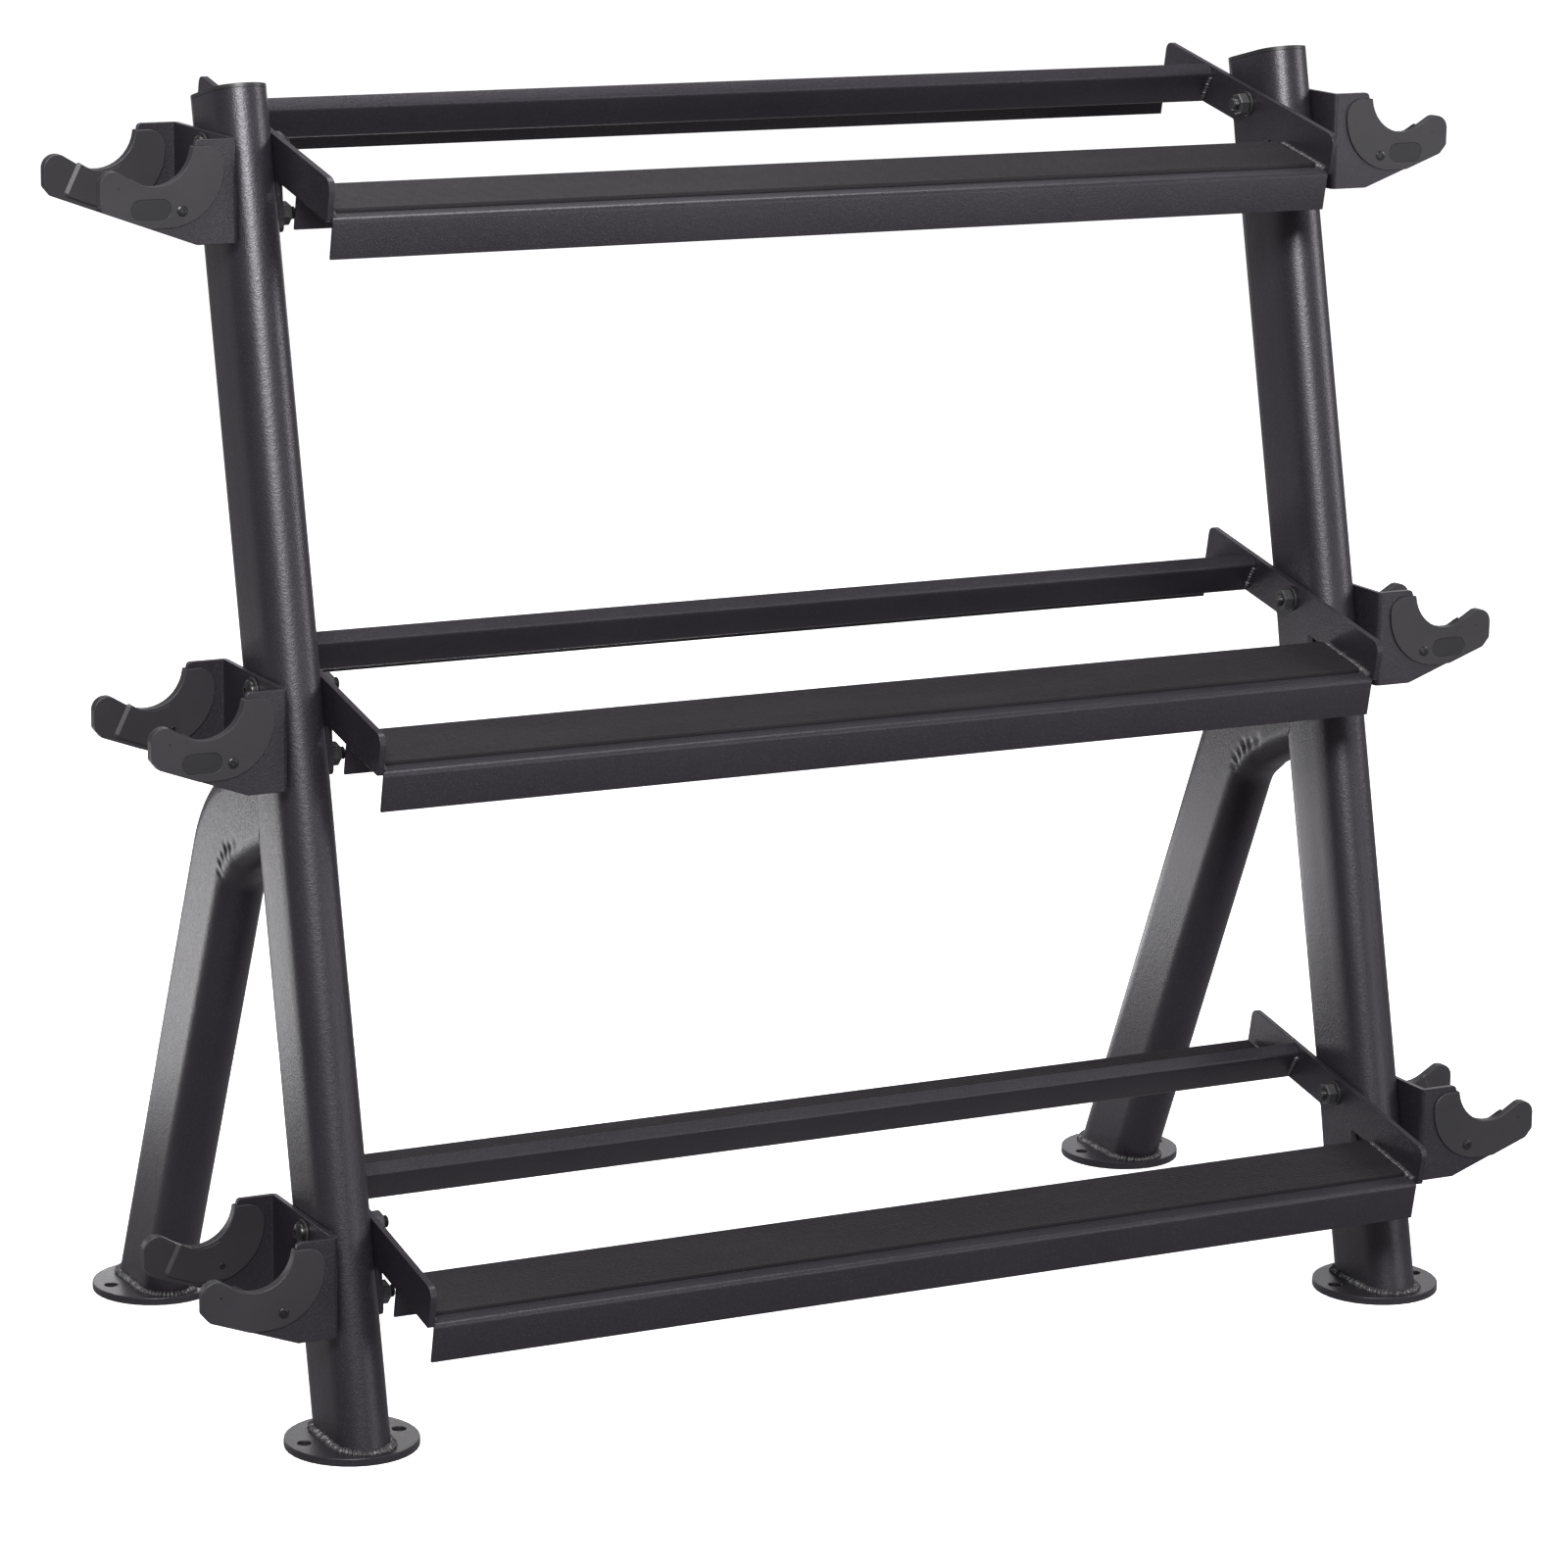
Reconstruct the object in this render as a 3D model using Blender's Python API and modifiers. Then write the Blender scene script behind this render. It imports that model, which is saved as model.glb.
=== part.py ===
"""Three-tier dumbbell rack: two leaning side frames, six shelf rails, end plates, hooks and liners.

Metres, +Z up. +X runs along the shelves and -Y faces the person who lifts a dumbbell.
Outlines of the side frames and hooks are measured from the centre of the front foot, on the floor.
Outlines of the rails, mats and end plates lie in the shelf plane: u runs back and up the shelf's
slope, v stands square to it, and v = 0 is the steel surface that carries the mats.
"""

import math

import bmesh
import bpy
from mathutils import Matrix, Vector

# Side frames
FRAME_X = 0.5435
FRONT_FOOT_Y = -0.2195
REAR_FOOT_Y = 0.2776
TUBE_DEPTH = 0.100
TUBE_WIDTH = 0.050
TUBE_WALL = 0.003
UPRIGHT_LEAN = math.radians(13.13)
UPRIGHT_LENGTH = 1.2052
LEG_LEAN = math.radians(24.13)
LEG_BEND_HEIGHT = 0.472
LEG_BEND_RADIUS = 0.110
LEG_BEND_ANGLE = math.radians(41.9)
LEG_END_LENGTH = 0.112
TUBE_RUNOUT = 0.030

# Floor plates and caps
FLOOR_PLATE_RADIUS = 0.0613
FLOOR_PLATE_THICKNESS = 0.0075
FLOOR_HOLE_OFFSET = 0.0458
HOLE_RADIUS = 0.0065
CAP_THICKNESS = 0.0036
CAP_PLUG_LENGTH = 0.014

# Shelves
TIER_COUNT = 3
TIER_PITCH = 0.4855
SHELF_SLOPE = math.atan(0.2)
SHELF_HEIGHT = 0.1645
SHEET = 0.003
SHEET_BEND = 0.0015
FRONT_RAIL_FRONT = -0.1163
FRONT_RAIL_BACK = -0.0285
REAR_RAIL_FRONT = 0.1242
REAR_RAIL_BACK = 0.1978
FLANGE_DEPTH = 0.0375
MAT_WIDTH = 0.070
MAT_THICKNESS = 0.004
MAT_EDGE_MARGIN = 0.0013
MAT_END_MARGIN = 0.001

# End plates
PLATE_THICKNESS = 0.006
PLATE_BOTTOM = -0.0025
PLATE_TOP = 0.0358

# Bolts, as (y, z) of their axes at the bottom tier
BOLT_AXES = ((0.036, 0.192), (0.022, 0.131))
BOLT_RADIUS = 0.006
WASHER_RADIUS = 0.012
WASHER_THICKNESS = 0.0025
BOLT_HEAD_RADIUS = 0.010
BOLT_HEAD_HEIGHT = 0.0065
NUT_ACROSS_FLATS = 0.019
NUT_HEIGHT = 0.010
BOLT_END = 0.0055

# Hooks and liners, as distances from the centre plane of the side frame
HOOK_STEEL = 0.005
HOOK_FRONT = -0.033
HOOK_BACK = 0.116
HOOK_CORNER = 0.005
HOOK_REACH = 0.1547
HOOK_BOTTOM = 0.1135
HOOK_TOP = 0.206
LINER_SKIN = 0.002

GAP = 0.0003
ARC_STEP = math.radians(24)
ALONG_X = (math.radians(90), -SHELF_SLOPE, math.radians(90))
SIDEWAYS = (math.radians(90), 0, 0)

PLATE_OUTER_X = TUBE_WIDTH / 2 + GAP
PLATE_INNER_X = PLATE_OUTER_X + PLATE_THICKNESS
HOOK_FACE_X = TUBE_WIDTH / 2 + GAP
RAIL_LENGTH = 2 * (FRAME_X - PLATE_INNER_X - GAP)


def clear_scene():
    """Remove everything that a new Blender file starts with."""
    for item in list(bpy.data.objects):
        bpy.data.objects.remove(item)


def new_collection(name):
    """Add a collection to the scene."""
    collection = bpy.data.collections.new(name)
    bpy.context.scene.collection.children.link(collection)
    return collection


def new_material(name, colour, roughness, metallic):
    """Make a plain Principled material."""
    material = bpy.data.materials.new(name)
    material.use_nodes = True
    shader = material.node_tree.nodes["Principled BSDF"]
    shader.inputs["Base Color"].default_value = (*colour, 1)
    shader.inputs["Roughness"].default_value = roughness
    shader.inputs["Metallic"].default_value = metallic
    return material


def circle(radius, steps, centre=(0, 0)):
    """Return the points of a circle."""
    angles = [2 * math.pi * step / steps for step in range(steps)]
    return [(centre[0] + radius * math.cos(a), centre[1] + radius * math.sin(a)) for a in angles]


def flat_oval(shrink=0.0, steps=9):
    """Return the tube's section, TUBE_WIDTH across x and TUBE_DEPTH along y, moved in by shrink."""
    middle = (TUBE_DEPTH - TUBE_WIDTH) / 2
    radius = TUBE_WIDTH / 2 - shrink
    points = []
    for start, centre in ((0, middle), (math.pi, -middle)):
        for step in range(steps + 1):
            angle = start + math.pi * step / steps
            points.append((radius * math.cos(angle), centre + radius * math.sin(angle)))
    return points


def rounded(corners):
    """Return a closed outline in which each (x, y, radius) corner has become an arc."""
    points = []
    for index, (x, y, radius) in enumerate(corners):
        corner = Vector((x, y))
        before = Vector(corners[index - 1][:2]) - corner
        after = Vector(corners[(index + 1) % len(corners)][:2]) - corner
        if radius <= 0:
            points.append(corner)
            continue
        half_angle = before.angle(after) / 2
        centre = corner + (before.normalized() + after.normalized()).normalized() * radius / math.sin(half_angle)
        start = corner + before.normalized() * radius / math.tan(half_angle) - centre
        end = corner + after.normalized() * radius / math.tan(half_angle) - centre
        turn = math.atan2(start.cross(end), start.dot(end))
        steps = max(2, round(abs(turn) / ARC_STEP))
        points += [centre + Matrix.Rotation(turn * step / steps, 2) @ start for step in range(steps + 1)]
    return points


def edged(edges):
    """Return a closed outline from (x, y, heading, radius, inset) edges, anticlockwise.

    An edge passes through (x, y) at its heading in degrees, moved inward by its inset. Its radius
    rounds the corner that it starts from, and an inset on both sides of a corner keeps the arc's centre.
    """
    lines = []
    for x, y, heading, radius, inset in edges:
        direction = Vector((math.cos(math.radians(heading)), math.sin(math.radians(heading))))
        inward = Vector((-direction.y, direction.x))
        lines.append((Vector((x, y)) + inward * inset, direction, radius, inset))
    corners = []
    for index, (point, direction, radius, inset) in enumerate(lines):
        last_point, last_direction, _, last_inset = lines[index - 1]
        turn = last_direction.cross(direction)
        reach = (point - last_point).cross(direction) / turn
        corner = last_point + last_direction * reach
        shared_inset = min(inset, last_inset)
        corners.append((corner.x, corner.y, radius - math.copysign(shared_inset, turn) if radius else 0))
    return rounded(corners)


def bent_sheet(path):
    """Return the outline of a bent sheet that lies to the right of a path of (x, y) corners."""
    near, far = [], []
    for index, point in enumerate(path):
        here = Vector(point)
        before = (here - Vector(path[index - 1])).normalized() if index else None
        after = (Vector(path[index + 1]) - here).normalized() if index < len(path) - 1 else None
        first = before or after
        second = after or before
        normal_sum = Vector((first.y + second.y, -first.x - second.x))
        offset = normal_sum * SHEET / (1 + first.dot(second))
        turn = first.cross(second)
        inside, outside = SHEET_BEND, SHEET_BEND + SHEET
        near_radius, far_radius = (inside, outside) if turn > 0 else (outside, inside)
        if before is None or after is None:
            near_radius, far_radius = 0, 0
        near.append((here.x, here.y, near_radius))
        far.append((here.x + offset.x, here.y + offset.y, far_radius))
    return rounded(near + far[::-1])


def weld(mesh):
    """Join the rims that a converted curve leaves open."""
    shape = bmesh.new()
    shape.from_mesh(mesh)
    bmesh.ops.remove_doubles(shape, verts=shape.verts, dist=0.00001)
    bmesh.ops.recalc_face_normals(shape, faces=shape.faces)
    shape.to_mesh(mesh)
    shape.free()


def baked(piece):
    """Return the mesh of a piece with its modifiers applied, and remove the piece."""
    bpy.context.view_layer.update()
    evaluated = piece.evaluated_get(bpy.context.evaluated_depsgraph_get())
    mesh = bpy.data.meshes.new_from_object(evaluated)
    mesh.name = piece.name
    bpy.data.objects.remove(piece)
    return mesh


def prism(name, outline, thickness, holes=()):
    """Return the mesh of a flat outline, thickened evenly along its own z."""
    curve = bpy.data.curves.new(name, "CURVE")
    curve.dimensions = "2D"
    curve.fill_mode = "BOTH"
    curve.extrude = thickness / 2
    for points in (outline, *holes):
        spline = curve.splines.new("POLY")
        spline.points.add(len(points) - 1)
        for target, point in zip(spline.points, points):
            target.co = (point[0], point[1], 0, 1)
        spline.use_cyclic_u = True
    source = bpy.data.objects.new(name, curve)
    bpy.context.scene.collection.objects.link(source)
    mesh = baked(source)
    bpy.data.curves.remove(curve)
    weld(mesh)
    return mesh


def place(name, mesh, material, location=(0, 0, 0), rotation=(0, 0, 0)):
    """Add a finished sub-part to the rack's collection."""
    mesh.materials.clear()
    mesh.materials.append(material)
    mesh.shade_smooth()
    mesh.set_sharp_from_angle(angle=math.radians(35))
    piece = bpy.data.objects.new(name, mesh)
    piece.location = location
    piece.rotation_euler = rotation
    rack.objects.link(piece)
    return piece


def cutter(name, mesh, location=(0, 0, 0), rotation=(0, 0, 0)):
    """Add a helper solid that only cuts or trims other pieces."""
    piece = bpy.data.objects.new(name, mesh)
    piece.location = location
    piece.rotation_euler = rotation
    piece.display_type = "WIRE"
    piece.hide_render = True
    cutters.objects.link(piece)
    return piece


def combine(piece, other, operation):
    """Give a piece an exact Boolean modifier."""
    modifier = piece.modifiers.new(other.name, "BOOLEAN")
    modifier.operation = operation
    modifier.solver = "EXACT"
    modifier.object = other


def mirrored(mesh):
    """Return a left-hand copy of a right-hand mesh."""
    copy = mesh.copy()
    copy.transform(Matrix.Scale(-1, 4, (1, 0, 0)))
    copy.flip_normals()
    return copy


def tier_offset(tier):
    """Return how far a tier lies from the bottom one, up the uprights."""
    rise = tier * TIER_PITCH
    return Vector((0, rise * math.sin(UPRIGHT_LEAN), rise * math.cos(UPRIGHT_LEAN)))


def make_cylinders(name, radius, length, centres, rotation):
    """Return one mesh with a cylinder at each centre."""
    shape = bmesh.new()
    for centre in centres:
        matrix = Matrix.Translation(centre) @ rotation
        bmesh.ops.create_cone(
            shape, cap_ends=True, segments=12, radius1=radius, radius2=radius, depth=length, matrix=matrix
        )
    mesh = bpy.data.meshes.new(name)
    shape.to_mesh(mesh)
    shape.free()
    return mesh


def bolt_centres(tiers):
    """Return where the bolt axes cross the rack's middle plane."""
    centres = []
    for tier in tiers:
        for y, z in BOLT_AXES:
            centres.append(Vector((0, FRONT_FOOT_Y + y, z)) + tier_offset(tier))
    return centres


def make_floor_cutter():
    """Return the block that trims the tubes just above the floor plates."""
    shape = bmesh.new()
    bmesh.ops.create_cube(shape, size=1)
    bmesh.ops.scale(shape, vec=(1.5, 1.5, 0.2), verts=shape.verts)
    mesh = bpy.data.meshes.new("floor_cutter")
    shape.to_mesh(mesh)
    shape.free()
    return cutter("floor_cutter", mesh, (0, 0, FLOOR_PLATE_THICKNESS + GAP - 0.1))


def upright_place(side, distance):
    """Return the point at a distance up an upright's axis."""
    along = distance * math.sin(UPRIGHT_LEAN)
    rise = distance * math.cos(UPRIGHT_LEAN)
    return (side * FRAME_X, FRONT_FOOT_Y + along, FLOOR_PLATE_THICKNESS + rise)


def add_uprights(material, floor_cutter):
    """Add the two leaning tubes, with bolt holes and a level foot."""
    length = UPRIGHT_LENGTH + TUBE_RUNOUT
    mesh = prism("upright", flat_oval(), length, [flat_oval(TUBE_WALL)])
    across = Matrix.Rotation(math.radians(90), 4, "Y")
    hole_mesh = make_cylinders("bolt_holes", HOLE_RADIUS, 1.3, bolt_centres(range(TIER_COUNT)), across)
    holes = cutter("bolt_holes", hole_mesh)
    for side, word in SIDES:
        location = upright_place(side, (UPRIGHT_LENGTH - TUBE_RUNOUT) / 2)
        piece = place(f"upright_{word}", mesh, material, location, (-UPRIGHT_LEAN, 0, 0))
        combine(piece, floor_cutter, "DIFFERENCE")
        combine(piece, holes, "DIFFERENCE")


def leg_path():
    """Return the rear leg's centre line as (y, z) from the front foot."""
    foot = Vector((REAR_FOOT_Y - FRONT_FOOT_Y, FLOOR_PLATE_THICKNESS))
    up = Vector((-math.sin(LEG_LEAN), math.cos(LEG_LEAN)))
    bend_start = foot + up * (LEG_BEND_HEIGHT - FLOOR_PLATE_THICKNESS) / math.cos(LEG_LEAN)
    centre = bend_start + Vector((-up.y, up.x)) * LEG_BEND_RADIUS
    points = [foot - up * TUBE_RUNOUT]
    steps = 8
    for step in range(steps + 1):
        turn = Matrix.Rotation(LEG_BEND_ANGLE * step / steps, 2)
        points.append(centre + turn @ (bend_start - centre))
    points.append(points[-1] + (Matrix.Rotation(LEG_BEND_ANGLE, 2) @ up) * LEG_END_LENGTH)
    return points


def make_leg_surface():
    """Return the open skin of the rear leg, swept along its centre line."""
    section = bpy.data.curves.new("leg_section", "CURVE")
    section.dimensions = "2D"
    outline = section.splines.new("POLY")
    points = [(y, x) for x, y in flat_oval()]
    outline.points.add(len(points) - 1)
    for target, point in zip(outline.points, points):
        target.co = (*point, 0, 1)
    outline.use_cyclic_u = True
    section_object = bpy.data.objects.new("leg_section", section)
    bpy.context.scene.collection.objects.link(section_object)

    path = bpy.data.curves.new("leg_path", "CURVE")
    path.dimensions = "2D"
    path.fill_mode = "NONE"
    path.bevel_mode = "OBJECT"
    path.bevel_object = section_object
    line = path.splines.new("POLY")
    stations = leg_path()
    line.points.add(len(stations) - 1)
    for target, station in zip(line.points, stations):
        target.co = (*station, 0, 1)
    source = bpy.data.objects.new("rear_leg", path)
    bpy.context.scene.collection.objects.link(source)
    mesh = baked(source)
    weld(mesh)
    bpy.data.objects.remove(section_object)
    return mesh


def add_rear_legs(material, floor_cutter):
    """Add the bent rear tubes, trimmed at the floor and coped to the uprights."""
    mesh = make_leg_surface()
    trim_mesh = prism("upright_trim", flat_oval(-GAP), 1.4)
    for side, word in SIDES:
        location = (side * FRAME_X, FRONT_FOOT_Y, 0)
        piece = place(f"rear_leg_{word}", mesh, material, location, (math.radians(90), 0, math.radians(90)))
        wall = piece.modifiers.new("wall", "SOLIDIFY")
        wall.thickness = TUBE_WALL
        wall.offset = -1
        wall.use_even_offset = True
        trim = cutter(f"upright_trim_{word}", trim_mesh, upright_place(side, 0.6), (-UPRIGHT_LEAN, 0, 0))
        combine(piece, trim, "DIFFERENCE")
        combine(piece, floor_cutter, "DIFFERENCE")


def add_floor_plates(material):
    """Add the round plates under the four tube ends."""
    holes = [circle(HOLE_RADIUS, 12, (side * FLOOR_HOLE_OFFSET, 0)) for side in (-1, 1)]
    mesh = prism("floor_plate", circle(FLOOR_PLATE_RADIUS, 36), FLOOR_PLATE_THICKNESS, holes)
    for side, word in SIDES:
        for row, y in (("front", FRONT_FOOT_Y), ("rear", REAR_FOOT_Y)):
            place(f"floor_plate_{row}_{word}", mesh, material, (side * FRAME_X, y, FLOOR_PLATE_THICKNESS / 2))


def add_top_caps(material):
    """Add the plastic plugs that close the uprights."""
    rim = bpy.data.objects.new("top_cap", prism("top_cap", flat_oval(), CAP_THICKNESS))
    rack.objects.link(rim)
    plug_mesh = prism("cap_plug", flat_oval(TUBE_WALL + GAP), CAP_PLUG_LENGTH + CAP_THICKNESS / 2)
    plug = cutter("cap_plug", plug_mesh, (0, 0, -CAP_PLUG_LENGTH / 2 - CAP_THICKNESS / 4))
    combine(rim, plug, "UNION")
    mesh = baked(rim)
    for side, word in SIDES:
        location = upright_place(side, UPRIGHT_LENGTH + GAP + CAP_THICKNESS / 2)
        place(f"top_cap_{word}", mesh, material, location, (-UPRIGHT_LEAN, 0, 0))


def shelf_place(x, tier):
    """Return the origin of a tier's shelf plane at x."""
    return Vector((x, FRONT_FOOT_Y, SHELF_HEIGHT)) + tier_offset(tier)


def add_rails(material):
    """Add the front channels and the rear rails with their forward-leaning lips."""
    front_path = [
        (FRONT_RAIL_FRONT, -FLANGE_DEPTH),
        (FRONT_RAIL_FRONT, 0),
        (FRONT_RAIL_BACK, 0),
        (FRONT_RAIL_BACK, -FLANGE_DEPTH),
    ]
    rear_path = [
        (REAR_RAIL_FRONT - 0.0037, PLATE_TOP - GAP),
        (REAR_RAIL_FRONT - 0.0113, 0.0283),
        (REAR_RAIL_FRONT, 0),
        (REAR_RAIL_BACK, 0),
        (REAR_RAIL_BACK, -FLANGE_DEPTH),
    ]
    for row, path in (("front", front_path), ("rear", rear_path)):
        mesh = prism(f"{row}_rail", bent_sheet(path), RAIL_LENGTH)
        for tier, word in TIERS:
            place(f"{row}_rail_{word}", mesh, material, shelf_place(0, tier), ALONG_X)


def add_mats(material):
    """Add the strips that the dumbbell heads rest on."""
    length = RAIL_LENGTH - 2 * MAT_END_MARGIN
    for row, back in (("front", FRONT_RAIL_BACK), ("rear", REAR_RAIL_BACK)):
        last = back - MAT_EDGE_MARGIN
        top = GAP + MAT_THICKNESS
        corners = [
            (last - MAT_WIDTH, GAP, 0),
            (last, GAP, 0),
            (last, top, 0.0012),
            (last - MAT_WIDTH, top, 0.0012),
        ]
        mesh = prism(f"{row}_mat", rounded(corners), length)
        for tier, word in TIERS:
            place(f"{row}_mat_{word}", mesh, material, shelf_place(0, tier), ALONG_X)


def to_shelf(y, z):
    """Turn a point measured from the front foot into shelf coordinates (u, v)."""
    rise = z - SHELF_HEIGHT
    cosine, sine = math.cos(SHELF_SLOPE), math.sin(SHELF_SLOPE)
    return (y * cosine + rise * sine, rise * cosine - y * sine)


def add_end_plates(material):
    """Add the sloping plates, each with a tab down its upright, that carry the rails' ends."""
    corners = [
        (-0.117, PLATE_BOTTOM, 0.003),
        (0.0035, PLATE_BOTTOM, 0.0015),
        (-0.010, -0.0475, 0.006),
        (0.0394, -0.057, 0.006),
        (0.0624, PLATE_BOTTOM, 0.003),
        (0.203, PLATE_BOTTOM, 0.003),
        (0.203, PLATE_TOP, 0.008),
        (-0.117, PLATE_TOP, 0.010),
    ]
    holes = [circle(HOLE_RADIUS, 12, to_shelf(y, z)) for y, z in BOLT_AXES]
    mesh = prism("end_plate", rounded(corners), PLATE_THICKNESS, holes)
    inset = (PLATE_OUTER_X + PLATE_INNER_X) / 2
    for tier, tier_word in TIERS:
        for side, side_word in SIDES:
            location = shelf_place(side * (FRAME_X - inset), tier)
            place(f"end_plate_{tier_word}_{side_word}", mesh, material, location, ALONG_X)


def hook_edges(inset):
    """Return the edges that the hook's steel and its liners share: slope, tip and round notch."""
    return [
        (0.064, HOOK_BOTTOM, 20, 0.004, 0),
        (0.1510, 0.1482, 50, 0.003, inset),
        (HOOK_REACH, 0.165, 90, 0.004, inset),
        (0.145, 0.1812, 180, 0.0125, inset),
        (0.1228, 0.1717, 211, 0.010, inset),
        (0.0678, 0.1985, 97, 0.0365, inset),
    ]


def steel_outline(inset, slope_inset):
    """Return the side outline of a hook's steel cheek."""
    slope, chamfer, tip, tip_top, notch_front, notch_back = hook_edges(inset)
    return edged([
        (0.030, HOOK_BOTTOM, 0, 0, 0),
        (*slope[:4], slope_inset),
        chamfer,
        tip,
        tip_top,
        notch_front,
        notch_back,
        (0.050, HOOK_TOP, 180, 0.004, 0),
        (HOOK_FACE_X, 0.160, 270, 0, 0),
    ])


def liner_outline():
    """Return the side outline of a plastic liner, flush with the cheek's sloping underside."""
    slope, chamfer, tip, tip_top, notch_front, notch_back = hook_edges(0)
    return edged([
        (0.090, 0.1300, 0, 0.053, 0),
        (*slope[:3], 0.006, 0),
        chamfer,
        tip,
        tip_top,
        notch_front,
        notch_back,
        (0.050, 0.2003, 180, 0.001, 0),
        (0.0390, 0.186, 270, 0.0165, 0),
    ])


def add_hooks(material):
    """Add the U-shaped hooks on the outer faces of the uprights."""
    web = HOOK_FACE_X
    far = HOOK_REACH + 0.01
    section = rounded([
        (web, HOOK_FRONT, HOOK_CORNER),
        (far, HOOK_FRONT, 0),
        (far, HOOK_FRONT + HOOK_STEEL, 0),
        (web + HOOK_STEEL, HOOK_FRONT + HOOK_STEEL, 0.001),
        (web + HOOK_STEEL, HOOK_BACK - HOOK_STEEL, 0.001),
        (far, HOOK_BACK - HOOK_STEEL, 0),
        (far, HOOK_BACK, 0),
        (web, HOOK_BACK, HOOK_CORNER),
    ])
    hook = bpy.data.objects.new("hook_bracket", prism("hook_bracket", section, 0.12))
    hook.location = (0, 0, 0.160)
    rack.objects.link(hook)
    side_mesh = prism("hook_side", steel_outline(LINER_SKIN + GAP, 0), 0.2)
    combine(hook, cutter("hook_side", side_mesh, (0, 0.04, 0), SIDEWAYS), "INTERSECT")
    across = Matrix.Rotation(math.radians(90), 4, "Y")
    centres = [Vector((0, y, z)) for y, z in BOLT_AXES]
    hole_mesh = make_cylinders("hook_bolt_holes", HOLE_RADIUS, 0.1, centres, across)
    combine(hook, cutter("hook_bolt_holes", hole_mesh), "DIFFERENCE")
    mesh = baked(hook)
    mesh.transform(Matrix.Translation((0, 0, 0.160)))
    meshes = {1: mesh, -1: mirrored(mesh)}
    for tier, tier_word in TIERS:
        for side, side_word in SIDES:
            location = Vector((side * FRAME_X, FRONT_FOOT_Y, 0)) + tier_offset(tier)
            place(f"hook_bracket_{tier_word}_{side_word}", meshes[side], material, location)


def add_liners(material):
    """Add the clam-shell liners over the notch and arm of every cheek."""
    thickness = HOOK_STEEL + 2 * (GAP + LINER_SKIN)
    liner = bpy.data.objects.new("hook_liner", prism("hook_liner", liner_outline(), thickness))
    rack.objects.link(liner)
    slot_mesh = prism("liner_slot", steel_outline(LINER_SKIN, -0.001), HOOK_STEEL + 2 * GAP)
    combine(liner, cutter("liner_slot", slot_mesh), "DIFFERENCE")
    mesh = baked(liner)
    mesh.transform(Matrix.Rotation(math.radians(90), 4, "X"))
    meshes = {1: mesh, -1: mirrored(mesh)}
    cheeks = (("front", HOOK_FRONT + HOOK_STEEL / 2), ("rear", HOOK_BACK - HOOK_STEEL / 2))
    for tier, tier_word in TIERS:
        for side, side_word in SIDES:
            for cheek, y in cheeks:
                location = Vector((side * FRAME_X, FRONT_FOOT_Y + y, 0)) + tier_offset(tier)
                place(f"hook_liner_{tier_word}_{side_word}_{cheek}", meshes[side], material, location)


def make_bolt_set():
    """Return a bolt with its washers and nut, its axis on z and its head at the top."""
    seat = HOOK_FACE_X + HOOK_STEEL + GAP
    head = seat + WASHER_THICKNESS
    inner = -PLATE_INNER_X - GAP
    nut = inner - WASHER_THICKNESS
    end = nut - NUT_HEIGHT - BOLT_END
    chamfer = 0.001
    profile = [
        (0, head + BOLT_HEAD_HEIGHT),
        (BOLT_HEAD_RADIUS * 0.6, head + BOLT_HEAD_HEIGHT * 0.8),
        (BOLT_HEAD_RADIUS, head + BOLT_HEAD_HEIGHT * 0.25),
        (BOLT_HEAD_RADIUS, head),
        (WASHER_RADIUS, head),
        (WASHER_RADIUS, seat),
        (BOLT_RADIUS, seat),
        (BOLT_RADIUS, inner),
        (WASHER_RADIUS, inner),
        (WASHER_RADIUS, nut),
        (BOLT_RADIUS, nut),
        (BOLT_RADIUS, end + chamfer),
        (BOLT_RADIUS - chamfer, end),
        (0, end),
    ]
    line = bpy.data.meshes.new("bolt_profile")
    vertices = [(radius, 0, z) for radius, z in profile]
    line.from_pydata(vertices, [(i, i + 1) for i in range(len(vertices) - 1)], [])
    bolt = bpy.data.objects.new("bolt_set", line)
    rack.objects.link(bolt)
    turn = bolt.modifiers.new("turn", "SCREW")
    turn.steps = 12
    turn.render_steps = 12
    turn.use_merge_vertices = True
    turn.merge_threshold = 0.0001
    turn.use_normal_calculate = True
    overlap = 0.0004
    depth = NUT_HEIGHT + overlap
    radius = NUT_ACROSS_FLATS / math.sqrt(3)
    nut_mesh = prism("nut", circle(radius, 6), depth)
    combine(bolt, cutter("nut", nut_mesh, (0, 0, nut + overlap - depth / 2)), "UNION")
    mesh = baked(bolt)
    weld(mesh)
    return mesh


def add_bolts(material):
    """Add two bolt sets through each hook, upright and end plate."""
    mesh = make_bolt_set()
    for tier, tier_word in TIERS:
        for side, side_word in SIDES:
            for level, centre in zip(("upper", "lower"), bolt_centres([tier])):
                location = centre + Vector((side * FRAME_X, 0, 0))
                rotation = (0, side * math.radians(90), 0)
                place(f"bolt_set_{tier_word}_{side_word}_{level}", mesh, material, location, rotation)


SIDES = ((-1, "left"), (1, "right"))
TIERS = tuple(enumerate(("bottom", "middle", "top")[:TIER_COUNT]))

clear_scene()
rack = new_collection("dumbbell_rack")
cutters = new_collection("cutters")

powder_coat = new_material("powder_coat", (0.075, 0.075, 0.082), 0.45, 0.3)
mat_rubber = new_material("mat_rubber", (0.022, 0.022, 0.024), 0.85, 0)
liner_plastic = new_material("liner_plastic", (0.060, 0.059, 0.065), 0.6, 0)
cap_plastic = new_material("cap_plastic", (0.045, 0.045, 0.050), 0.5, 0)
black_steel = new_material("black_steel", (0.05, 0.05, 0.052), 0.3, 0.8)

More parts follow.
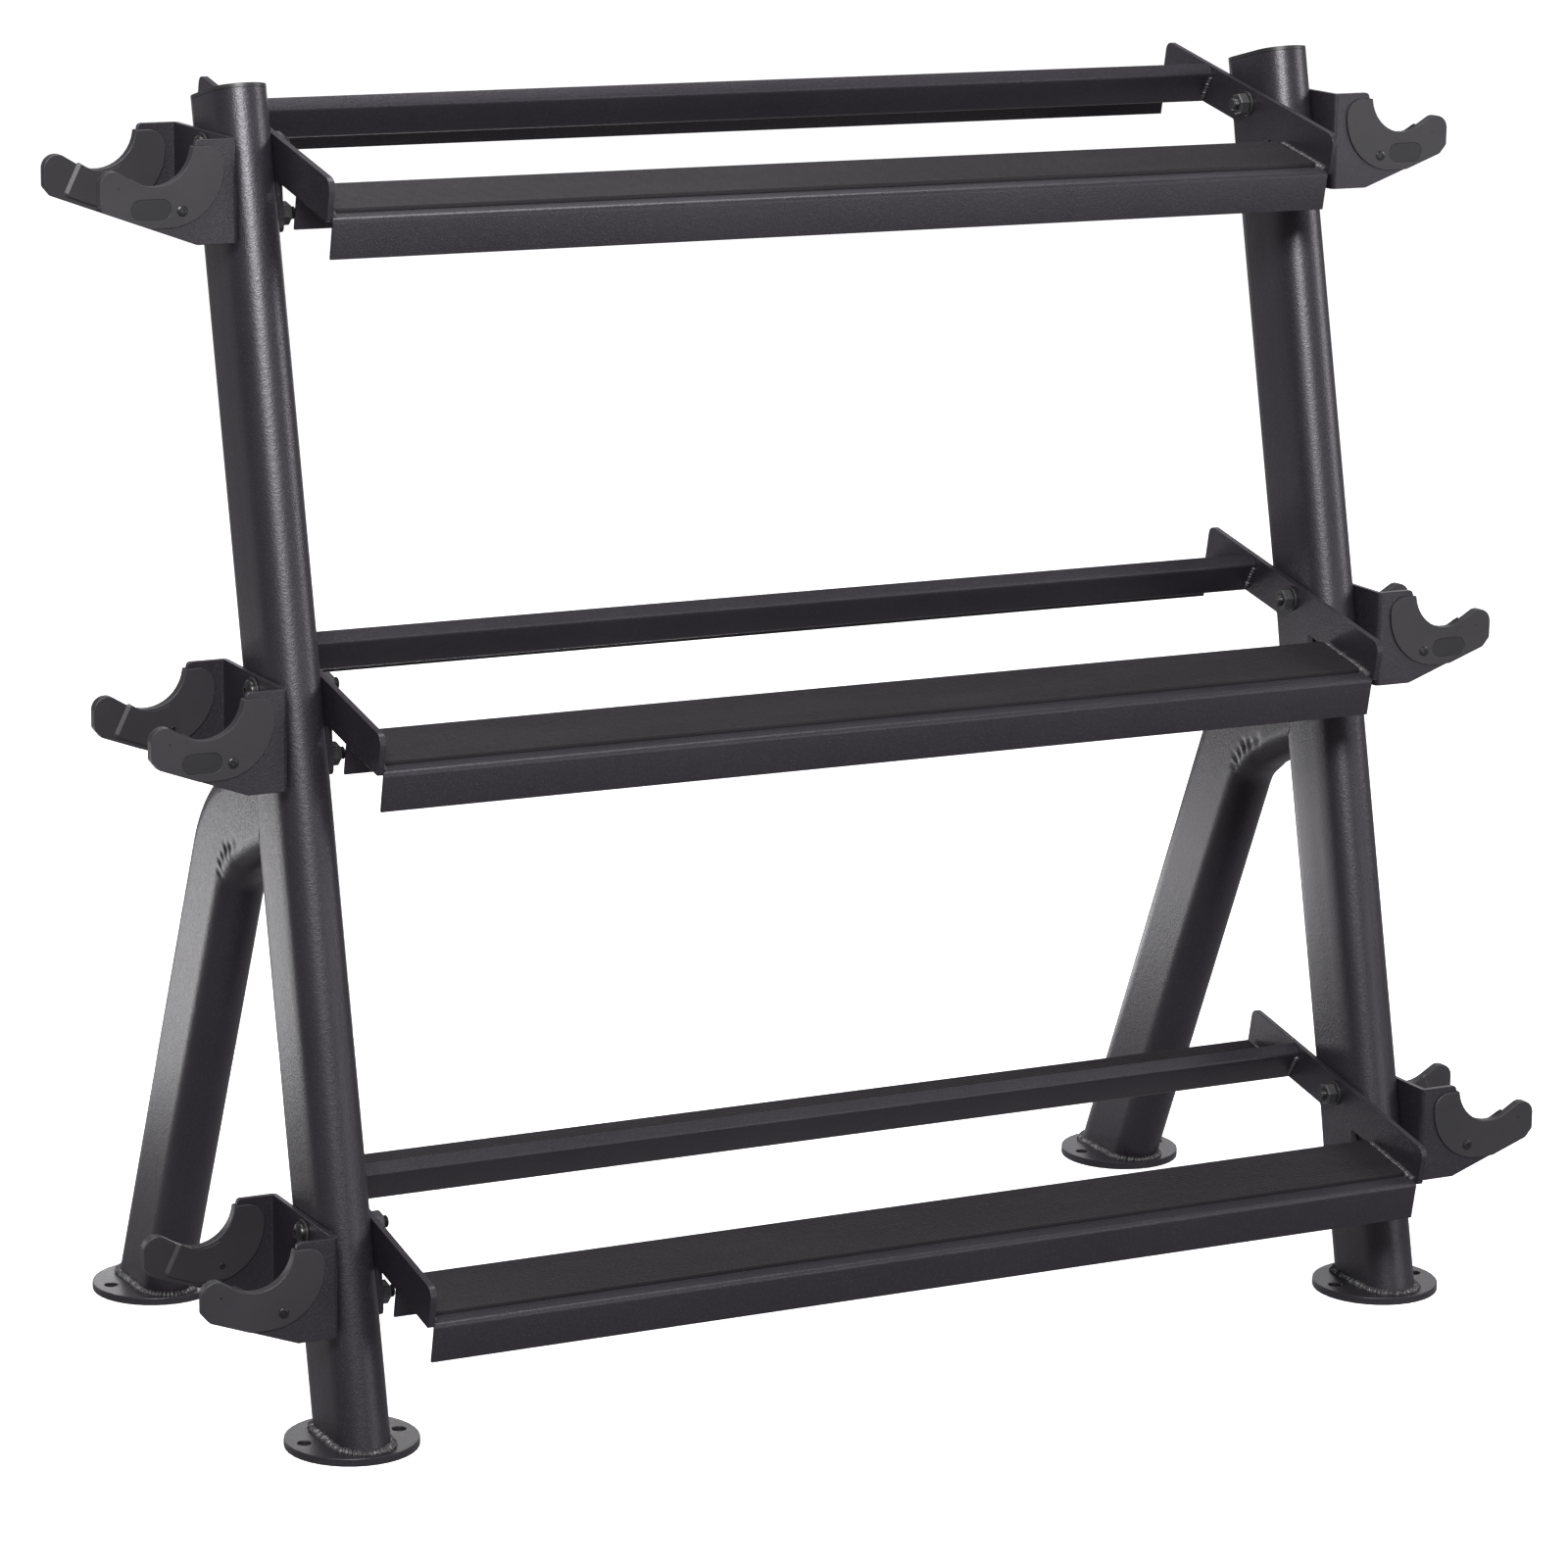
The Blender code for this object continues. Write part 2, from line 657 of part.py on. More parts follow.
floor_block = make_floor_cutter()
add_uprights(powder_coat, floor_block)
add_rear_legs(powder_coat, floor_block)
add_floor_plates(powder_coat)
add_top_caps(cap_plastic)
add_rails(powder_coat)
add_mats(mat_rubber)
add_end_plates(powder_coat)
add_hooks(powder_coat)
add_liners(liner_plastic)
add_bolts(black_steel)
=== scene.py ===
"""Looks of the three-tier dumbbell rack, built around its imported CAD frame.

Metres. Outlines on the side frames and hooks are measured from the front foot. Outlines on the
shelves lie in the shelf plane: u runs back and up the slope, v stands square to it.
"""

import math
import random

import bmesh
import bpy
from mathutils import Matrix, Vector


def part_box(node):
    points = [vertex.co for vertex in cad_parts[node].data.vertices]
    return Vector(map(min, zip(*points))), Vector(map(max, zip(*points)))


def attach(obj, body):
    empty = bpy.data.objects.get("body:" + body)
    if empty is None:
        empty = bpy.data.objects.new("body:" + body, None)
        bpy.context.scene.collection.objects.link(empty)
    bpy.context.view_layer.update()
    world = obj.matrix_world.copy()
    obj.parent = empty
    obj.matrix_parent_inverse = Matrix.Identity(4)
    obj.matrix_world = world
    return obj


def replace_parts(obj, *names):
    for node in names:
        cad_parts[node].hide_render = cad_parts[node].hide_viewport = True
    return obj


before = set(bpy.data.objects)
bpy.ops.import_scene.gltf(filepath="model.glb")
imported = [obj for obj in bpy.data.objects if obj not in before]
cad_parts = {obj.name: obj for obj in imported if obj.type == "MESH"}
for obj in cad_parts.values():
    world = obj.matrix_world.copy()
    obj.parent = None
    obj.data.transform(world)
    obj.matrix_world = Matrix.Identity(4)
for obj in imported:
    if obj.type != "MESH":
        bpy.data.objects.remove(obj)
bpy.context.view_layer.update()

SIDES = ((-1, "left"), (1, "right"))
TIERS = ("bottom", "middle", "top")

SHELF_SLOPE = math.atan(0.2)
SHELF_HEIGHT = 0.1645
LEG_LEAN = math.radians(24.13)
LEG_BEND_HEIGHT = 0.472
LEG_BEND_RADIUS = 0.110
LEG_BEND_ANGLE = math.radians(41.9)
LEG_PAST_BEND = 0.040
BOLT_AXES = (("upper", 0.036, 0.192), ("lower", 0.022, 0.131))
CHEEKS = (("front", -0.0305), ("rear", 0.1135))
MAT_WIDTH, MAT_THICKNESS = 0.070, 0.004
MAT_BACK_EDGES = (("front", -0.0298), ("rear", 0.1965))
LINER_SKIN = 0.0048
RECESS_CENTRE = (0.1073, 0.1466)


def box_centre(node):
    """Return the middle of a CAD node's box."""
    low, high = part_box(node)
    return (low + high) / 2


FRAME_X = box_centre("floor_plate_front_right").x
FRONT_FOOT_Y = box_centre("floor_plate_front_right").y
REAR_FOOT_Y = box_centre("floor_plate_rear_right").y
PLATE_TOP_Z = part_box("floor_plate_front_right")[1].z
TIER_STEP = box_centre("hook_bracket_middle_right") - box_centre("hook_bracket_bottom_right")
UPRIGHT_LEAN = math.atan2(TIER_STEP.y, TIER_STEP.z)
TUBE_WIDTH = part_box("upright_right")[1].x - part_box("upright_right")[0].x
TUBE_DEPTH = 2 * TUBE_WIDTH
PLATE_INNER_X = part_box("end_plate_bottom_right")[0].x
RAIL_HALF_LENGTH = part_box("front_rail_bottom")[1].x


# ---------------------------------------------------------------- camera, light and floor


def add_camera():
    """Place the camera in front of the rack's left half, a little above its middle."""
    azimuth, elevation, roll = math.radians(27.127), math.radians(12.946), math.radians(0.794)
    forward = Vector((
        math.sin(azimuth) * math.cos(elevation),
        math.cos(azimuth) * math.cos(elevation),
        -math.sin(elevation),
    ))
    right = forward.cross(Vector((0, 0, 1))).normalized()
    up = right.cross(forward)
    level = Matrix((right, up, -forward)).transposed()
    data = bpy.data.cameras.new("camera")
    data.lens = 126.39
    data.sensor_width = 36
    data.clip_end = 100
    camera = bpy.data.objects.new("camera", data)
    position = Vector((-2.3394, -4.5567, 1.6883))
    camera.matrix_world = Matrix.Translation(position) @ (level @ Matrix.Rotation(roll, 3, "Z")).to_4x4()
    bpy.context.scene.collection.objects.link(camera)
    bpy.context.scene.camera = camera


def add_area_light(name, location, target, size, power):
    """Add a soft rectangular studio light that faces its target."""
    data = bpy.data.lights.new(name, "AREA")
    data.shape = "RECTANGLE"
    data.size, data.size_y = size
    data.energy = power
    light = bpy.data.objects.new(name, data)
    light.location = location
    light.rotation_euler = (Vector(target) - Vector(location)).to_track_quat("-Z", "Y").to_euler()
    light.visible_camera = False
    bpy.context.scene.collection.objects.link(light)


def add_studio():
    """Add the white sweep, its even surrounding light and the soft boxes."""
    world = bpy.data.worlds.new("studio")
    world.use_nodes = True
    world.node_tree.nodes["Background"].inputs["Color"].default_value = (0.98, 0.95, 1.0, 1)
    world.node_tree.nodes["Background"].inputs["Strength"].default_value = 0.32
    bpy.context.scene.world = world
    bpy.context.scene.view_settings.view_transform = "Standard"
    add_area_light("key_light", (-1.75, -3.2, 2.9), (-0.3, 0, 0.9), (1.7, 1.0), 265)
    add_area_light("leg_light", (-0.90, 0.80, 0.20), (-0.57, 0.20, 0.42), (0.35, 0.35), 1.35)
    add_area_light("fill_light", (3.4, -1.6, 1.8), (0.4, 0, 0.6), (1.4, 1.4), 50)
    add_area_light("front_light", (1.9, -3.9, 0.55), (0, 0, 0.6), (2.4, 1.2), 24)
    add_area_light("rear_strip", (0.1, 1.1, 0.08), (0.3, 0, 0.3), (1.0, 0.2), 2.6)
    add_area_light("top_light", (0, 0.2, 3.6), (0, 0, 0), (2.6, 1.8), 90)
    add_area_light("back_light", (1.6, 4.0, 1.2), (0, 0, 0.3), (4.2, 1.6), 24)

    paper = material_floor()
    sheet = bmesh.new()
    bmesh.ops.create_circle(sheet, cap_ends=True, segments=64, radius=40.0)
    floor = bpy.data.objects.new("floor", mesh_from_bmesh("floor", sheet))
    floor.data.materials.append(paper)
    floor.visible_glossy = False
    floor.visible_diffuse = False
    bpy.context.scene.collection.objects.link(floor)


# ---------------------------------------------------------------- materials


def new_material(name):
    """Return a material, its node tree and its Principled shader."""
    material = bpy.data.materials.new(name)
    material.use_nodes = True
    tree = material.node_tree
    return material, tree, tree.nodes["Principled BSDF"]


def noise(tree, scale, detail=3.0, stretch=None):
    """Return the factor output of a noise laid through the object's own space, with scale per metre."""
    coordinates = tree.nodes.new("ShaderNodeTexCoord")
    texture = tree.nodes.new("ShaderNodeTexNoise")
    texture.inputs["Scale"].default_value = scale
    texture.inputs["Detail"].default_value = detail
    source = coordinates.outputs["Object"]
    if stretch:
        mapping = tree.nodes.new("ShaderNodeMapping")
        mapping.inputs["Scale"].default_value = stretch
        tree.links.new(source, mapping.inputs["Vector"])
        source = mapping.outputs["Vector"]
    tree.links.new(source, texture.inputs["Vector"])
    return texture.outputs["Fac"]


def remap(tree, source, low, high, to_low, to_high):
    """Return the source mapped from one range onto another."""
    node = tree.nodes.new("ShaderNodeMapRange")
    for index, value in ((1, low), (2, high), (3, to_low), (4, to_high)):
        node.inputs[index].default_value = value
    tree.links.new(source, node.inputs[0])
    return node.outputs[0]


def blend_colours(tree, factor, first, second):
    """Return a mix of two colours, either of which may be a socket."""
    node = tree.nodes.new("ShaderNodeMix")
    node.data_type = "RGBA"
    tree.links.new(factor, node.inputs[0])
    for socket, colour in ((node.inputs[6], first), (node.inputs[7], second)):
        if isinstance(colour, tuple):
            socket.default_value = (*colour, 1)
        else:
            tree.links.new(colour, socket)
    return node.outputs[2]


def add_bump(tree, shader, layers):
    """Chain (height, strength, distance) layers into the shader's normal."""
    last = None
    for height, strength, distance in layers:
        bump = tree.nodes.new("ShaderNodeBump")
        bump.inputs["Strength"].default_value = strength
        bump.inputs["Distance"].default_value = distance
        tree.links.new(height, bump.inputs["Height"])
        if last:
            tree.links.new(last, bump.inputs["Normal"])
        last = bump.outputs["Normal"]
    tree.links.new(last, shader.inputs["Normal"])


def outward_edge_mask(tree, low, high):
    """Return a factor that rises along outward edges."""
    geometry = tree.nodes.new("ShaderNodeNewGeometry")
    return remap(tree, geometry.outputs["Pointiness"], low, high, 0, 1)


def material_powder_coat(name, dark, light, roughness):
    """Fine-textured powder coat: a pebbled skin with bright flecks and faint cloudiness."""
    material, tree, shader = new_material(name)
    cloud = noise(tree, 9, 4)
    flecks = remap(tree, noise(tree, 1400, 1), 0.62, 0.75, 0, 1)
    base = blend_colours(tree, remap(tree, cloud, 0.3, 0.7, 0, 1), dark, light)
    fleck_colour = tuple(channel * 3.5 for channel in light)
    tree.links.new(blend_colours(tree, flecks, base, fleck_colour), shader.inputs["Base Color"])
    grain = noise(tree, 650, 2)
    sheen = remap(tree, grain, 0.3, 0.7, roughness - 0.05, roughness + 0.07)
    tree.links.new(sheen, shader.inputs["Roughness"])
    shader.inputs["Specular IOR Level"].default_value = 0.5
    shader.inputs["Specular Tint"].default_value = (0.97, 0.93, 1.0, 1)
    add_bump(tree, shader, ((grain, 0.30, 0.0006), (noise(tree, 240, 2), 0.16, 0.001)))
    return material


def material_rubber():
    """Matte black rubber with dust in its grain."""
    material, tree, shader = new_material("mat_rubber")
    dust = remap(tree, noise(tree, 30, 5, (0.2, 1, 1)), 0.45, 0.75, 0, 1)
    base = blend_colours(tree, dust, (0.0052, 0.0038, 0.0058), (0.0090, 0.0072, 0.0098))
    tree.links.new(base, shader.inputs["Base Color"])
    grain = noise(tree, 900, 3)
    tree.links.new(remap(tree, grain, 0.3, 0.7, 0.48, 0.66), shader.inputs["Roughness"])
    shader.inputs["Specular IOR Level"].default_value = 0.32
    add_bump(tree, shader, ((grain, 0.25, 0.0004),))
    return material


def material_plastic(name, dark, light, roughness, grain_strength):
    """Moulded plastic with a spark-eroded grain."""
    material, tree, shader = new_material(name)
    cloud = remap(tree, noise(tree, 14, 3), 0.35, 0.65, 0, 1)
    tree.links.new(blend_colours(tree, cloud, dark, light), shader.inputs["Base Color"])
    grain = noise(tree, 1600, 2)
    sheen = remap(tree, grain, 0.3, 0.7, roughness - 0.06, roughness + 0.06)
    tree.links.new(sheen, shader.inputs["Roughness"])
    shader.inputs["Specular IOR Level"].default_value = 0.45
    add_bump(tree, shader, ((grain, grain_strength, 0.0003),))
    return material


def material_black_steel():
    """Black-oxide steel, lighter in colour along its sharp outward edges."""
    material, tree, shader = new_material("bolt_black")
    # the base colour turns lighter along outward edges, picked by edge sharpness alone
    lighter_edge_mask = outward_edge_mask(tree, 0.52, 0.60)
    tarnish = remap(tree, noise(tree, 160, 4), 0.35, 0.7, 0, 1)
    base = blend_colours(tree, tarnish, (0.006, 0.006, 0.0068), (0.013, 0.0125, 0.013))
    tree.links.new(blend_colours(tree, lighter_edge_mask, base, (0.04, 0.04, 0.042)), shader.inputs["Base Color"])
    shader.inputs["Metallic"].default_value = 0.2
    scratches = noise(tree, 420, 3)
    tree.links.new(remap(tree, scratches, 0.3, 0.7, 0.2, 0.42), shader.inputs["Roughness"])
    add_bump(tree, shader, ((scratches, 0.15, 0.0003),))
    return material


def material_weld():
    """Painted weld bead, glossier than the plate where the coat has pooled, with a painted highlight
    lightening its crests.
    """
    material, tree, shader = new_material("weld_bead")
    spatter = remap(tree, noise(tree, 500, 3), 0.5, 0.7, 0, 1)
    # painted highlight: the bead's crests and outward edges get a lighter colour
    painted_crest_highlight = outward_edge_mask(tree, 0.5, 0.62)
    base = blend_colours(tree, spatter, (0.011, 0.010, 0.012), (0.026, 0.024, 0.027))
    tree.links.new(blend_colours(tree, painted_crest_highlight, base, (0.05, 0.048, 0.051)), shader.inputs["Base Color"])
    lumps = noise(tree, 700, 3)
    tree.links.new(remap(tree, lumps, 0.3, 0.7, 0.20, 0.42), shader.inputs["Roughness"])
    add_bump(tree, shader, ((lumps, 0.6, 0.0010),))
    return material


def material_floor():
    """Pale seamless paper with the faintest tooth."""
    material, tree, shader = new_material("studio_floor")
    paper = blend_colours(tree, noise(tree, 60, 2), (0.90, 0.90, 0.90), (0.93, 0.93, 0.93))
    tree.links.new(paper, shader.inputs["Base Color"])
    shader.inputs["Roughness"].default_value = 0.7
    shader.inputs["Emission Color"].default_value = (1, 1, 1, 1)
    shader.inputs["Emission Strength"].default_value = 0.8
    return material


# ---------------------------------------------------------------- mesh helpers


def link(piece):
    """Put a piece in the scene and make it ride on the rack's only body."""
    bpy.context.scene.collection.objects.link(piece)
    bpy.context.view_layer.update()
    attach(piece, "root")
    return piece


def finished(name, mesh, material, angle=35):
    """Return a shown piece with smooth round faces and sharp edges."""
    mesh.materials.clear()
    mesh.materials.append(material)
    mesh.shade_smooth()
    mesh.set_sharp_from_angle(angle=math.radians(angle))
    piece = link(bpy.data.objects.new(name, mesh))
    return piece


def even_faces(piece):
    """Shade a piece's flat faces evenly right up to its eased edges."""
    weights = piece.modifiers.new("even", "WEIGHTED_NORMAL")
    weights.keep_sharp = True
    weights.weight = 100


def smooth_edges(piece, width, segments=2, angle=32):
    """Weld a faceted solid, clear its flat-face triangles and round its edges."""
    join = piece.modifiers.new("weld", "WELD")
    join.merge_threshold = 0.00002
    flats = piece.modifiers.new("flats", "DECIMATE")
    flats.decimate_type = "DISSOLVE"
    flats.angle_limit = math.radians(1)
    edge = piece.modifiers.new("edge", "BEVEL")
    edge.width = width
    edge.segments = segments
    edge.limit_method = "ANGLE"
    edge.angle_limit = math.radians(angle)
    edge.harden_normals = True
    edge.miter_outer = "MITER_ARC"


def dress_node(name, material, width=0.0006, segments=2):
    """Give a CAD node its finish and its rounded edges."""
    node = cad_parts[name]
    node.data.materials.clear()
    node.data.materials.append(material)
    for attribute in ("custom_normal", "sharp_edge", "sharp_face"):
        if attribute in node.data.attributes:
            node.data.attributes.remove(node.data.attributes[attribute])
    node.data.shade_smooth()
    smooth_edges(node, width, segments)


def evaluated_mesh(piece, name):
    """Return the piece's mesh with its modifiers applied."""
    bpy.context.view_layer.update()
    depsgraph = bpy.context.evaluated_depsgraph_get()
    mesh = bpy.data.meshes.new_from_object(piece.evaluated_get(depsgraph))
    mesh.name = name
    return mesh


def mesh_from_bmesh(name, shape):
    """Turn a bmesh into a mesh with outward normals."""
    bmesh.ops.recalc_face_normals(shape, faces=shape.faces)
    mesh = bpy.data.meshes.new(name)
    shape.to_mesh(mesh)
    shape.free()
    return mesh


def extruded(name, outline, length, centre=0.0):
    """Return a solid whose flat outline is drawn out along z."""
    shape = bmesh.new()
    rings = []
    for z in (centre - length / 2, centre + length / 2):
        rings.append([shape.verts.new((x, y, z)) for x, y in outline])
    for index in range(len(outline)):
        after = (index + 1) % len(outline)
        shape.faces.new((rings[0][index], rings[0][after], rings[1][after], rings[1][index]))
    shape.faces.new(rings[0][::-1])
    shape.faces.new(rings[1])
    return mesh_from_bmesh(name, shape)


def turned(name, profile, steps=40):
    """Return a solid of revolution about z from (radius, z) points that start and end on the axis."""
    shape = bmesh.new()
    rings = []
    for radius, z in profile:
        if radius < 1e-6:
            rings.append([shape.verts.new((0, 0, z))])
            continue
        angles = [2 * math.pi * step / steps for step in range(steps)]
        rings.append([shape.verts.new((radius * math.cos(a), radius * math.sin(a), z)) for a in angles])
    for lower, upper in zip(rings, rings[1:]):
        for step in range(steps):
            after = (step + 1) % steps
            corners = [lower[step % len(lower)], lower[after % len(lower)]]
            corners += [upper[after % len(upper)], upper[step % len(upper)]]
            unique = list(dict.fromkeys(corners))
            if len(unique) > 2:
                shape.faces.new(unique)
    return mesh_from_bmesh(name, shape)


def joined(name, meshes):
    """Return one mesh that holds several separate closed solids."""
    shape = bmesh.new()
    for mesh in meshes:
        shape.from_mesh(mesh)
    return mesh_from_bmesh(name, shape)


def moved(mesh, matrix):
    """Return a transformed copy of a mesh, with its normals kept outward."""
    copy = mesh.copy()
    copy.transform(matrix)
    if matrix.to_3x3().determinant() < 0:
        copy.flip_normals()
    return copy


def tier_shift(tier):
    """Return how far a tier lies from the bottom one."""
    return TIER_STEP * tier


def shelf_matrix(tier, x=0.0):
    """Return the matrix from shelf coordinates (u, v, along) to the rack."""
    origin = Vector((x, FRONT_FOOT_Y, SHELF_HEIGHT)) + tier_shift(tier)
    rotation = Matrix.Rotation(SHELF_SLOPE, 4, "X") @ Matrix(((0, 0, 1), (1, 0, 0), (0, 1, 0))).to_4x4()
    return Matrix.Translation(origin) @ rotation


def frame_matrix(side, tier=0):
    """Return the matrix from hook coordinates (outward, y, z) to the rack, mirrored on the left."""
    origin = Vector((side * FRAME_X, FRONT_FOOT_Y, 0)) + tier_shift(tier)
    return Matrix.Translation(origin) @ Matrix.Diagonal((side, 1, 1, 1))


def rounded(corners, arc_step=math.radians(9)):
    """Return a closed outline in which each (x, y, radius) corner has become an arc."""
    points = []
    for index, (x, y, radius) in enumerate(corners):
        corner = Vector((x, y))
        if radius <= 0:
            points.append(corner)
            continue
        before = (Vector(corners[index - 1][:2]) - corner).normalized()
        after = (Vector(corners[(index + 1) % len(corners)][:2]) - corner).normalized()
        half_angle = before.angle(after) / 2
        centre = corner + (before + after).normalized() * radius / math.sin(half_angle)
        start = corner + before * radius / math.tan(half_angle) - centre
        end = corner + after * radius / math.tan(half_angle) - centre
        turn = math.atan2(start.cross(end), start.dot(end))
        steps = max(2, round(abs(turn) / arc_step))
        points += [centre + Matrix.Rotation(turn * step / steps, 2) @ start for step in range(steps + 1)]
    return points


# ---------------------------------------------------------------- shelves


def mat_outline(width, thickness):
    """Return the section of a ribbed mat, its foot at v = 0 and its back edge at u = 0."""
    rib_count = 23
    pitch = width / rib_count
    groove, shoulder = 0.0011, 0.00035
    crown = [(0.10, groove), (0.22, shoulder), (0.36, 0), (0.64, 0), (0.78, shoulder), (0.90, groove)]
    points = [(-width, 0), (0, 0)]
    for rib in range(rib_count):
        for place, depth in crown:
            points.append((-(rib + place) * pitch, thickness - depth))
    return points


def add_mats(material):
    """Replace each plain mat with one whose ribs run the length of the shelf."""
    end_margin, lift = 0.0045, 0.0003
    length = 2 * (RAIL_HALF_LENGTH - end_margin)
    for row, back_edge in MAT_BACK_EDGES:
        mesh = extruded(f"{row}_mat_ribbed", mat_outline(MAT_WIDTH, MAT_THICKNESS), length)
        for tier, word in enumerate(TIERS):
            matrix = shelf_matrix(tier) @ Matrix.Translation((back_edge, lift, 0))
            name = f"{row}_mat_{word}"
            piece = finished(f"{name}_ribbed", moved(mesh, matrix), material, 50)
            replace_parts(piece, name)


# ---------------------------------------------------------------- weld beads


def bead(name, stations, normals, radius, seed, closed=False):
    """Return a weld bead: a tube along the stations whose girth swells once for each ripple."""
    source = random.Random(seed)
    ripple = 0.0036
    sides = 8
    shape = bmesh.new()
    rings = []
    travelled = 0.0
    count = len(stations)
    for index, (station, normal) in enumerate(zip(stations, normals)):
        after = stations[(index + 1) % count] if closed else stations[min(index + 1, count - 1)]
        before = stations[index - 1] if closed or index else station
        along = (after - before).normalized()
        across = along.cross(normal).normalized()
        travelled += (station - before).length
        swell = 0.95 + 0.30 * math.sin(2 * math.pi * travelled / ripple) + source.uniform(-0.14, 0.14)
        if not closed:
            swell *= min(1, 0.35 + 0.4 * min(index, count - 1 - index))
        drift = across * source.uniform(-0.20, 0.20) * radius
        ring = []
        for side in range(sides):
            angle = 2 * math.pi * side / sides
            offset = across * math.cos(angle) * 1.15 + normal * math.sin(angle)
            ring.append(shape.verts.new(station + drift + offset * radius * swell))
        rings.append(ring)
    pairs = list(zip(rings, rings[1:]))
    if closed:
        pairs.append((rings[-1], rings[0]))
    for lower, upper in pairs:
        for side in range(sides):
            after = (side + 1) % sides
            shape.faces.new((lower[side], lower[after], upper[after], upper[side]))
    if not closed:
        shape.faces.new(rings[0][::-1])
        shape.faces.new(rings[-1])
    return mesh_from_bmesh(name, shape)


def straight_bead(name, start, end, normal, radius, seed):
    """Return a bead along a straight joint."""
    start, end, normal = Vector(start), Vector(end), Vector(normal).normalized()
    count = max(4, round((end - start).length / 0.0010))
    stations = [start.lerp(end, index / count) for index in range(count + 1)]
    return bead(name, stations, [normal] * len(stations), radius, seed)


def flat_oval(count_per_turn, grow=0.0, flat_count=12):
    """Return (x, depth, outward) points round the tube's section, evenly turned at its round ends."""
    radius = TUBE_WIDTH / 2
    middle = (TUBE_DEPTH - TUBE_WIDTH) / 2
    points = []
    for start, centre in ((0, middle), (math.pi, -middle)):
        for step in range(count_per_turn + 1):
            angle = start + math.pi * step / count_per_turn
            outward = Vector((math.cos(angle), math.sin(angle)))
            place = Vector((0, centre)) + outward * (radius + grow)
            points.append((place.x, place.y, outward))
        sign = 1 if start else -1
        for step in range(1, flat_count):
            depth = centre * (1 - 2 * step / flat_count)
            points.append((sign * (radius + grow), depth, Vector((sign, 0))))
    return points


def foot_loop(side, foot_y, lean):
    """Return the stations and normals of the bead round the foot of a tube that leans fore or aft."""
    spacing, height = 0.0011, PLATE_TOP_Z + 0.0008
    stations, normals = [], []
    loop = flat_oval(34, 0.0012)
    for index, (x, depth, outward) in enumerate(loop):
        after_x, after_depth, _ = loop[(index + 1) % len(loop)]
        pieces = max(1, round(math.dist((x, depth), (after_x, after_depth)) / spacing))
        for step in range(pieces):
            share = step / pieces
            place_x = side * FRAME_X + (x + (after_x - x) * share)
            place_y = foot_y + (depth + (after_depth - depth) * share) / math.cos(lean)
            stations.append(Vector((place_x, place_y, height)))
            normals.append(Vector((outward.x * 0.5, outward.y * 0.5, 0.85)).normalized())
    return stations, normals


def add_foot_beads(material):
    """Add the beads that join the tubes to the floor plates."""
    for row, foot_y, lean in (("front", FRONT_FOOT_Y, UPRIGHT_LEAN), ("rear", REAR_FOOT_Y, -LEG_LEAN)):
        for side, word in SIDES:
            name = f"foot_weld_{row}_{word}"
            stations, normals = foot_loop(side, foot_y, lean)
            mesh = bead(name, stations, normals, 0.0032, side + 5 * len(row), True)
            finished(name, mesh, material, 80)


def add_shelf_beads(material):
    """Add the beads that join the rails to the end plates."""
    inset = 0.0016
    x = PLATE_INNER_X - inset
    for tier, tier_word in enumerate(TIERS):
        for side, side_word in SIDES:
            runs = [
                ((-0.111, 0.0012, side * x), (-0.033, 0.0012, side * x), (0, 1, 0), 0.0033),
                ((0.130, 0.0012, side * x), (0.190, 0.0012, side * x), (0, 1, 0), 0.0024),
                ((0.1210, 0.0005, side * x), (0.1105, 0.0265, side * x), (-1, -0.4, 0), 0.0022),
                ((0.1125, 0.0290, side * x), (0.1180, 0.0342, side * x), (-0.7, 0.7, 0), 0.0020),
            ]
            meshes = []
            for index, (start, end, normal, radius) in enumerate(runs):
                seed = index + 10 * tier + 100 * side
                meshes.append(straight_bead("bead", start, end, normal, radius, seed))
            name = f"shelf_weld_{tier_word}_{side_word}"
            mesh = moved(joined(name, meshes), shelf_matrix(tier))
            finished(name, mesh, material, 80)


# ---------------------------------------------------------------- rear legs


def leg_stations():
    """Return a rear leg's (centre, heading) stations in (y, z) from the front foot, and the bend's start."""
    foot = Vector((REAR_FOOT_Y - FRONT_FOOT_Y, PLATE_TOP_Z))
    up = Vector((-math.sin(LEG_LEAN), math.cos(LEG_LEAN)))
    straight = (LEG_BEND_HEIGHT - PLATE_TOP_Z) / math.cos(LEG_LEAN)
    bend_start = foot + up * straight
    centre = bend_start + Vector((-up.y, up.x)) * LEG_BEND_RADIUS
    stations = []
    lower_count, bend_count, upper_count = 14, 56, 10
    for step in range(1, lower_count + 1):
        stations.append((foot + up * straight * step / (lower_count + 1), up))
    for step in range(bend_count + 1):
        turn = Matrix.Rotation(LEG_BEND_ANGLE * step / bend_count, 2)
        stations.append((centre + turn @ (bend_start - centre), turn @ up))
    last, heading = stations[-1]
    for step in range(1, upper_count + 1):
        stations.append((last + heading * LEG_PAST_BEND * step / upper_count, heading))
    return stations, lower_count


